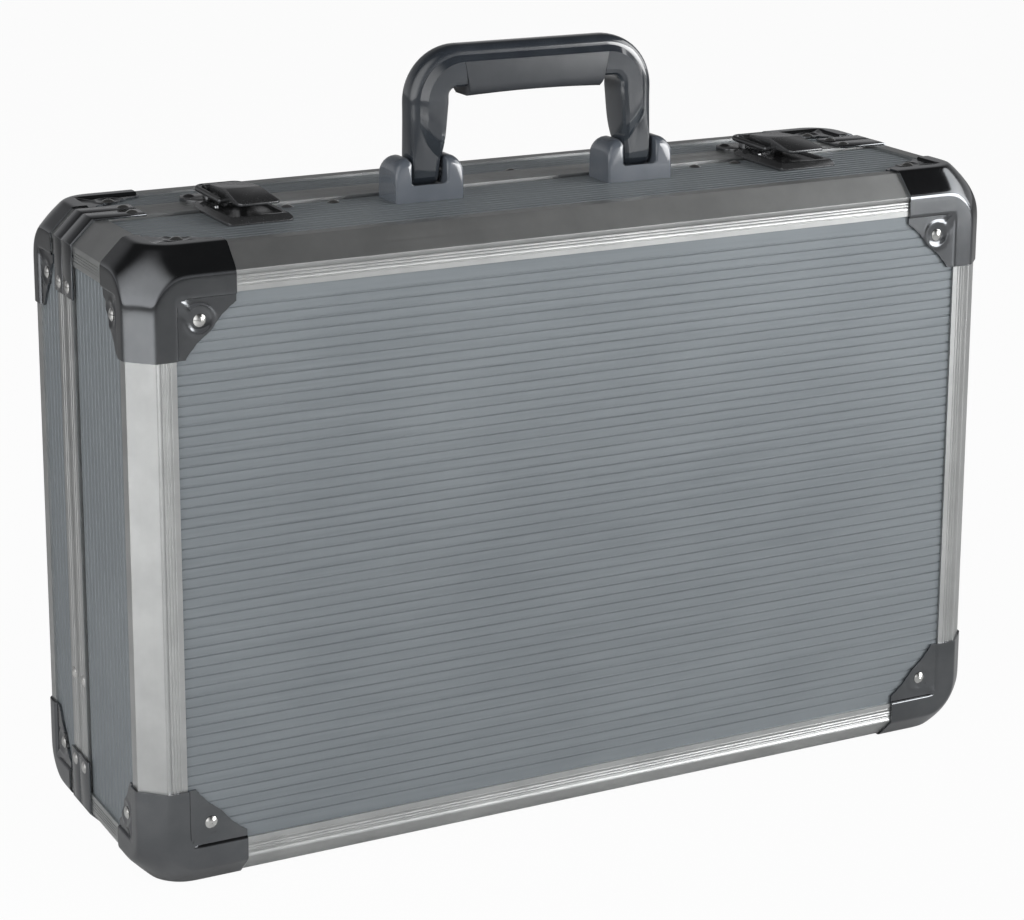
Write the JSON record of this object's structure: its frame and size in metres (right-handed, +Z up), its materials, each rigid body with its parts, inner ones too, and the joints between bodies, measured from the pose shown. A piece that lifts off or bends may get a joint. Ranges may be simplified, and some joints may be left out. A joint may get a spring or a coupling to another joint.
{
  "type": "hard shell suitcase",
  "caption": "Hard attache case with grooved panels in chamfered profiles, corner caps, folding handle, draw latches, long hinge and inner lid stays.",
  "frame": {"origin": "under the middle of the case, on the surface it stands on", "axes": "+X along the width, +Y towards the shallow half (lid), +Z up to the handle"},
  "size_m": [0.4646, 0.1504, 0.3758],
  "materials": {
    "panel": "satin, fine grooves",
    "frame_profile": "satin anodised",
    "hinge": "satin zinc",
    "corner_metal": "semi-gloss dark",
    "rivet": "bright",
    "lining": "matt",
    "handle_plastic": "glossy",
    "grip": "satin, soft",
    "latch_metal": "semi-gloss dark",
    "bow_wire": "semi-gloss dark",
    "steel": "satin"
  },
  "bodies": {
    "base": {"base_face_panel": "panel", "base_wall_top": "panel", "base_wall_bottom": "panel", "base_wall_left": "panel", "base_wall_right": "panel", "base_edge_frame": "frame_profile", "base_corner_posts": "frame_profile", "base_seam_top": "frame_profile", "base_seam_bottom": "frame_profile", "base_seam_left": "frame_profile", "base_seam_right": "frame_profile", "base_cap_top_left": "corner_metal", "base_cap_top_right": "corner_metal", "base_cap_bottom_left": "corner_metal", "base_cap_bottom_right": "corner_metal", "base_seam_straps": "corner_metal", "base_rivets": "rivet", "base_lining": "lining", "base_hinge_leaf": "hinge", "hinge_pin": "steel", "base_stay_pins": "steel", "handle_brackets": "handle_plastic", "handle_pins": "steel", "latch_plate_left": "latch_metal", "latch_plate_right": "latch_metal"},
    "lid": {"lid_face_panel": "panel", "lid_wall_top": "panel", "lid_wall_bottom": "panel", "lid_wall_left": "panel", "lid_wall_right": "panel", "lid_edge_frame": "frame_profile", "lid_corner_posts": "frame_profile", "lid_seam_top": "frame_profile", "lid_seam_bottom": "frame_profile", "lid_seam_left": "frame_profile", "lid_seam_right": "frame_profile", "lid_cap_top_left": "corner_metal", "lid_cap_top_right": "corner_metal", "lid_cap_bottom_left": "corner_metal", "lid_cap_bottom_right": "corner_metal", "lid_seam_straps": "corner_metal", "lid_rivets": "rivet", "lid_lining": "lining", "lid_hinge_leaf": "hinge", "lid_stay_pins": "steel", "latch_keeper_left": "latch_metal", "latch_keeper_right": "latch_metal"},
    "stay_base_left": {"stay_base_arm_left": "steel"},
    "stay_base_right": {"stay_base_arm_right": "steel"},
    "stay_lid_left": {"stay_lid_arm_left": "steel"},
    "stay_lid_right": {"stay_lid_arm_right": "steel"},
    "handle": {"handle_body": "handle_plastic", "handle_grip": "grip"},
    "lever_left": {"latch_lever_left": "latch_metal"},
    "lever_right": {"latch_lever_right": "latch_metal"},
    "bow_left": {"latch_bow_left": "bow_wire"},
    "bow_right": {"latch_bow_right": "bow_wire"}
  },
  "joints": [
    {"name": "lid_hinge", "type": "hinge", "parent": "base", "child": "lid", "pos_m": [0, 0.019, 0.0029], "axis": [-1, 0, 0], "range_deg": [0, 95]},
    {"name": "stay_base_left_pivot", "type": "hinge", "parent": "base", "child": "stay_base_left", "pos_m": [-0.221, 0.0126, 0.0769], "axis": [-1, 0, 0], "range_deg": [0, 95]},
    {"name": "stay_lid_left_pivot", "type": "hinge", "parent": "lid", "child": "stay_lid_left", "pos_m": [-0.221, 0.0254, 0.0769], "axis": [-1, 0, 0], "range_deg": [-95, 0]},
    {"name": "stay_base_right_pivot", "type": "hinge", "parent": "base", "child": "stay_base_right", "pos_m": [0.221, 0.0126, 0.0769], "axis": [-1, 0, 0], "range_deg": [0, 95]},
    {"name": "stay_lid_right_pivot", "type": "hinge", "parent": "lid", "child": "stay_lid_right", "pos_m": [0.221, 0.0254, 0.0769], "axis": [-1, 0, 0], "range_deg": [-95, 0]},
    {"name": "handle_pivot", "type": "hinge", "parent": "base", "child": "handle", "pos_m": [0, -0.006, 0.3152], "axis": [1, 0, 0], "range_deg": [-74, 74]},
    {"name": "lever_left_pivot", "type": "hinge", "parent": "base", "child": "lever_left", "pos_m": [-0.15, 0.012, 0.309], "axis": [-1, 0, 0], "range_deg": [0, 115]},
    {"name": "bow_left_pivot", "type": "hinge", "parent": "lever_left", "child": "bow_left", "pos_m": [-0.15, -0.005, 0.3094], "axis": [-1, 0, 0], "range_deg": [-115, 0]},
    {"name": "lever_right_pivot", "type": "hinge", "parent": "base", "child": "lever_right", "pos_m": [0.15, 0.012, 0.309], "axis": [-1, 0, 0], "range_deg": [0, 115]},
    {"name": "bow_right_pivot", "type": "hinge", "parent": "lever_right", "child": "bow_right", "pos_m": [0.15, -0.005, 0.3094], "axis": [-1, 0, 0], "range_deg": [-115, 0]}
  ],
  "couplings": [
    {"joint": "stay_base_left_pivot", "follows": "lid_hinge", "ratio": 1},
    {"joint": "stay_lid_left_pivot", "follows": "lid_hinge", "ratio": -1},
    {"joint": "stay_base_right_pivot", "follows": "lid_hinge", "ratio": 1},
    {"joint": "stay_lid_right_pivot", "follows": "lid_hinge", "ratio": -1},
    {"joint": "bow_left_pivot", "follows": "lever_left_pivot", "ratio": -1},
    {"joint": "bow_right_pivot", "follows": "lever_right_pivot", "ratio": -1}
  ]
}
